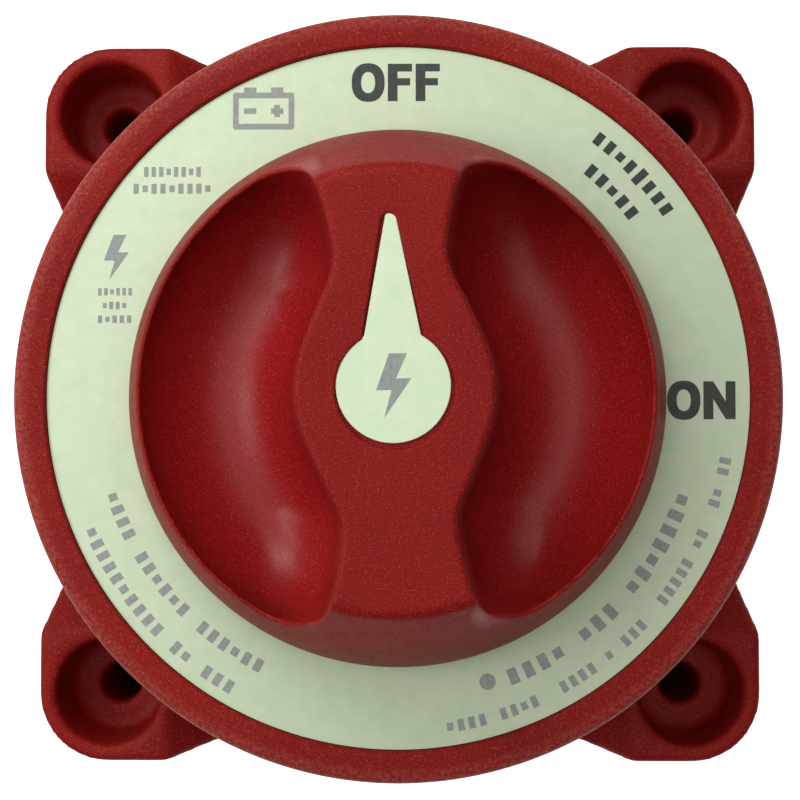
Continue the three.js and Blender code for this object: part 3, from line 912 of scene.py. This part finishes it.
def split_washer(inner, outer, low, high, gap=8.0, lift=0.5, steps=72):
    """A spring lock washer: a cut ring whose ends stand a little apart."""
    start, end = math.radians(gap), 2 * math.pi - math.radians(gap)
    section = rounded([(inner, 0, 0.15), (outer, 0, 0.15), (outer, 1, 0.15), (inner, 1, 0.15)], 3)
    thick = high - low - lift
    points = []
    for step in range(steps + 1):
        share = step / steps
        angle = start + (end - start) * share
        for r, h in section:
            points.append((r * math.cos(angle), r * math.sin(angle), low + lift * share + h * thick))
    count = len(section)
    faces = [tuple(range(count)), tuple(range(steps * count, (steps + 1) * count))[::-1]]
    for step in range(steps):
        for i in range(count):
            j = (i + 1) % count
            a = step * count
            faces.append((a + i, a + count + i, a + count + j, a + j))
    return points, faces


STUD_RADIUS, STUD_PITCH = 4.76, 1.5875
HEAD_WIDTH, HEAD_LENGTH, HEAD_HEIGHT = 14, 16, 4


def build_terminals():
    for side in ("right", "left"):
        low, high = box_mm(f"stud_{side}")
        x = (low[0] + high[0]) / 2
        near, far = (x - HEAD_WIDTH / 2, -HEAD_LENGTH / 2), (x + HEAD_WIDTH / 2, HEAD_LENGTH / 2)
        head = block((*near, high[2] - HEAD_HEIGHT), (*far, high[2]), 0.5)
        shank = moved(threaded_stud(STUD_RADIUS, STUD_PITCH, low[2], high[2] - 3.8), x)
        add_mesh(f"stud_body_{side}", *joined(head, shank), TINNED, CASE, "tinned_copper", [f"stud_{side}"])
        low, high = box_mm(f"stud_nut_{side}")
        nut = moved(hex_nut(14.3, 4.85, low[2], high[2]), x)
        add_mesh(f"nut_body_{side}", *nut, STEEL, CASE, "stainless_steel", [f"stud_nut_{side}"], 25)
        low, high = box_mm(f"lock_washer_{side}")
        washer = moved(split_washer(5.1, 8.15, low[2], high[2]), x)
        add_mesh(f"lock_body_{side}", *washer, STEEL, CASE, "stainless_steel", [f"lock_washer_{side}"])
        low, high = box_mm(f"flat_washer_{side}")
        profile = [(5.1, low[2], 0.2), (9.5, low[2], 0.3), (9.5, high[2], 0.3), (5.1, high[2], 0.2)]
        washer = moved(turned(rounded(profile, 3), 96), x)
        add_mesh(f"washer_body_{side}", *washer, STEEL, CASE, "stainless_steel", [f"flat_washer_{side}"])


# ---------------------------------------------------------------- springs


def coil_spring(radius, wire, length, turns, steps=200, sides=12):
    """A round-wire spring that stands on Z = 0, with its end turns wound closer."""
    points = []
    for step in range(steps + 1):
        share = step / steps
        angle = 2 * math.pi * turns * share
        rise = wire + (length - 2 * wire) * (share - 0.6 * math.sin(2 * math.pi * share) / (2 * math.pi))
        for k in range(sides):
            around = 2 * math.pi * k / sides
            r = radius + wire * math.cos(around)
            points.append((r * math.cos(angle), r * math.sin(angle), rise + wire * math.sin(around)))
    faces = [tuple(range(sides)), tuple(range(steps * sides, (steps + 1) * sides))[::-1]]
    for step in range(steps):
        for k in range(sides):
            j = (k + 1) % sides
            a = step * sides
            faces.append((a + k, a + sides + k, a + sides + j, a + j))
    return points, faces


CONTACT_WIRE, DETENT_WIRE = 0.38, 0.25


def build_springs():
    """Springs built at their CAD nodes' lengths; each keeps hold of the rotor with one end."""
    for end in ("upper", "lower"):
        low, high = box_mm(f"contact_spring_{end}")
        x, y = (low[:2] + high[:2]) / 2
        length = high[2] - low[2]
        points, faces = coil_spring((high[0] - low[0]) / 2 - CONTACT_WIRE, CONTACT_WIRE, length, 3)
        points = [(px + x, py + y, pz + low[2]) for px, py, pz in points]
        spring = add_mesh(
            f"contact_coil_{end}", points, faces, STEEL, TURNING, "stainless_steel", [f"contact_spring_{end}"]
        )
        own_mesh(spring)
    for side, way in (("right", 1), ("left", -1)):
        low, high = box_mm(f"detent_spring_{side}")
        y, z = (low[1:] + high[1:]) / 2
        length = high[0] - low[0]
        inner = low[0] if way > 0 else high[0]
        points, faces = coil_spring((high[1] - low[1]) / 2 - DETENT_WIRE, DETENT_WIRE, length, 5)
        points = [(inner + way * pz, y + way * px, z + py) for px, py, pz in points]
        spring = add_mesh(
            f"detent_coil_{side}", points, faces, STEEL, TURNING, "stainless_steel", [f"detent_spring_{side}"]
        )
        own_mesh(spring)


# ---------------------------------------------------------------- CAD nodes that stay


def dress(node, slot):
    """Gives a CAD node its material and smooth shading."""
    piece = frame["nodes"][node]
    piece.data.materials.clear()
    piece.data.materials.append(SLOT_LOOKS[slot])
    if piece.data.has_custom_normals:
        with bpy.context.temp_override(object=piece, active_object=piece):
            bpy.ops.mesh.customdata_custom_splitnormals_clear()
    weld = piece.modifiers.new("weld", "WELD")
    weld.merge_threshold = 0.002 * MM
    piece.data.shade_smooth()
    return piece


def soften(piece, cell, rounds):
    """Rounds every edge of a moulded part, inside and out, as a mould would."""
    remesh = piece.modifiers.new("cells", "REMESH")
    remesh.mode = "VOXEL"
    remesh.voxel_size = cell * MM
    remesh.use_smooth_shade = True
    relax = piece.modifiers.new("relax", "SMOOTH")
    relax.factor = 0.5
    relax.iterations = rounds


def dress_frame():
    moulded = {"front_case": (0.7, 3), "rear_cover": (0.8, 3)}
    for entry in frame["record"]["subparts"]:
        node = entry["node"]
        piece = dress(node, entry["material_slot"])
        if node in moulded:
            soften(piece, *moulded[node])
        else:
            smooth = piece.modifiers.new("smooth", "WEIGHTED_NORMAL")
            smooth.keep_sharp = True


# ---------------------------------------------------------------- floor, light and camera


def build_floor():
    """A pale floor that glows around the object and fades to plain farther out."""
    half = 3.0
    mesh = bpy.data.meshes.new("floor")
    signs = ((-1, -1), (1, -1), (1, 1), (-1, 1))
    mesh.from_pydata([(half * x, half * y, 0) for x, y in signs], [], [(0, 1, 2, 3)])
    floor = bpy.data.objects.new("floor", mesh)
    bpy.context.scene.collection.objects.link(floor)
    look = Look("pale_floor")
    look.set("Base Color", (0.9, 0.9, 0.9, 1))
    look.set("Roughness", 0.9)
    look.set("Specular IOR Level", 0.1)
    look.set("Emission Color", (1, 1, 1, 1))
    x, y, _ = look.absolute()
    farther = look.combine("MAXIMUM", x, y)
    glow = look.ramp(farther, (0.044, 0.0), (0.047, 0.80), (0.07, 0.80), (0.20, 0.05))
    look.links.new(glow, look.shader.inputs["Emission Strength"])
    mesh.materials.append(look.material)


def aim(obj, target):
    """Points an object's -Z at a place, with its own up towards +Y."""
    back = (Vector(obj.location) - Vector(target)).normalized()
    right = Vector((0, 1, 0)).cross(back).normalized()
    obj.rotation_euler = Matrix((right, back.cross(right), back)).transposed().to_euler()


def area_light(name, place, target, size, power, colour=(1, 1, 1)):
    data = bpy.data.lights.new(name, "AREA")
    data.shape = "SQUARE"
    data.size = size
    data.energy = power
    data.color = colour
    lamp = bpy.data.objects.new(name, data)
    lamp.location = place
    bpy.context.scene.collection.objects.link(lamp)
    aim(lamp, target)


def build_light():
    """A soft room that is brightest overhead, and three near lamps towards the upper left."""
    world = bpy.data.worlds.new("soft_room")
    world.use_nodes = True
    nodes, links = world.node_tree.nodes, world.node_tree.links
    towards = nodes.new("ShaderNodeVectorMath")
    towards.operation = "DOT_PRODUCT"
    links.new(nodes.new("ShaderNodeTexCoord").outputs["Generated"], towards.inputs[0])
    towards.inputs[1].default_value = Vector((-0.25, 0.25, 1.0)).normalized()
    ramp = nodes.new("ShaderNodeValToRGB")
    ramp.color_ramp.elements.new(0.85)
    stops = ((0.45, (0.060, 0.063, 0.060)), (0.85, (1.02, 1.04, 0.98)), (1.0, (1.08, 1.10, 1.04)))
    for element, (position, colour) in zip(ramp.color_ramp.elements, stops):
        element.position = position
        element.color = (*colour, 1)
    links.new(towards.outputs["Value"], ramp.inputs["Fac"])
    links.new(ramp.outputs["Color"], nodes["Background"].inputs["Color"])
    bpy.context.scene.world = world
    face = (0, 0, FACE_TOP * MM)
    lamp_colour = (0.96, 1.0, 0.93)
    for name, x, y, z, power in (
        ("left_lamp", -0.200, -0.010, 0.180, 0.13),
        ("corner_lamp", -0.150, 0.150, 0.190, 0.14),
        ("upper_lamp", -0.060, 0.175, 0.200, 0.11),
    ):
        area_light(name, (x, y, FACE_TOP * MM + z), face, 0.09, power, lamp_colour)


def build_camera():
    """Straight above the face, but for a slight lean."""
    data = bpy.data.cameras.new("camera")
    data.sensor_width = 36
    data.lens = 70.05
    camera = bpy.data.objects.new("camera", data)
    place, target = (2.4, -8.16, FACE_TOP + 190.7), (0.32, -0.60, FACE_TOP)
    camera.location = [MM * value for value in place]
    bpy.context.scene.collection.objects.link(camera)
    aim(camera, [MM * value for value in target])
    bpy.context.scene.camera = camera


view = bpy.context.scene.view_settings
view.view_transform = "Standard"
view.look = "None"

build_camera()
build_light()
build_floor()
dress_frame()
build_knob()
build_bezel()
build_dial()
build_print()
build_terminals()
build_springs()
